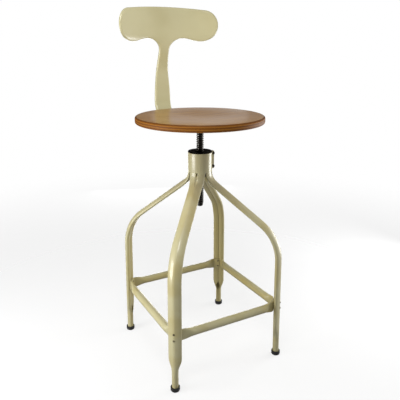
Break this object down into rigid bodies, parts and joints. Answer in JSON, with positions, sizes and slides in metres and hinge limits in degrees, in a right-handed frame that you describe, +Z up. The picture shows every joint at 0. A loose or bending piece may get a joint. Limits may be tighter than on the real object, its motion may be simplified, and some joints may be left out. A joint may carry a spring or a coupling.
{
  "type": "adjustable swivel stool",
  "caption": "Stool with a round plywood seat and a low curved backrest that turn together on a screw spindle in a splayed steel-leg base.",
  "frame": {"origin": "on the floor, under the middle of the whole stool's bounding box; the spindle's axis is parallel to Z and a little in front of the origin", "axes": "+Z up, -Y towards the sitter's front, +X to the sitter's left"},
  "size_m": [0.361, 0.424, 0.9905],
  "materials": {
    "frame_paint": "satin cream enamel",
    "backrest_paint": "satin cream enamel",
    "seat_plywood": "varnished plywood, satin",
    "spindle_steel": "blackened, oiled",
    "blackened_steel": "black, satin",
    "plain_steel": "plain, slightly dull",
    "black_rubber": "matt"
  },
  "bodies": {
    "base": {"leg_front_left": "frame_paint", "leg_back_left": "frame_paint", "leg_back_right": "frame_paint", "leg_front_right": "frame_paint", "foot_front_left": "black_rubber", "foot_back_left": "black_rubber", "foot_back_right": "black_rubber", "foot_front_right": "black_rubber", "rivet_front_left_1": "plain_steel", "rivet_front_left_2": "plain_steel", "rivet_back_left_1": "plain_steel", "rivet_back_left_2": "plain_steel", "rivet_back_right_1": "plain_steel", "rivet_back_right_2": "plain_steel", "rivet_front_right_1": "plain_steel", "rivet_front_right_2": "plain_steel", "stretcher_front": "frame_paint", "stretcher_left": "frame_paint", "stretcher_back": "frame_paint", "stretcher_right": "frame_paint", "hub_collar": "frame_paint", "hub_cap": "blackened_steel", "hub_core": "blackened_steel", "threaded_bush": "plain_steel", "hub_plate": "frame_paint", "clamp_bolt_1": "blackened_steel", "clamp_bolt_2": "blackened_steel", "clamp_nut_1": "blackened_steel", "clamp_nut_2": "blackened_steel"},
    "lift": {"stop_ring": "black_rubber"},
    "seat_top": {"seat": "seat_plywood", "seat_flange": "blackened_steel", "spindle": "spindle_steel", "flange_screw_1": "plain_steel", "flange_screw_2": "plain_steel", "flange_screw_3": "plain_steel", "flange_screw_4": "plain_steel", "backrest": "backrest_paint", "back_screw_1": "plain_steel", "back_screw_2": "plain_steel", "back_screw_3": "plain_steel"}
  },
  "joints": [
    {"name": "seat_lift", "type": "slide", "parent": "base", "child": "lift", "axis": [0, 0, 1], "range_m": [-0.0515, 0.1005]},
    {"name": "seat_turn", "type": "hinge", "parent": "lift", "child": "seat_top", "pos_m": [0, -0.0315, 0], "axis": [0, 0, 1], "range_deg": [-3090, 6030]}
  ],
  "couplings": [
    {"joint": "seat_lift", "follows": "seat_turn", "m_per_rad": 0.00095493}
  ]
}
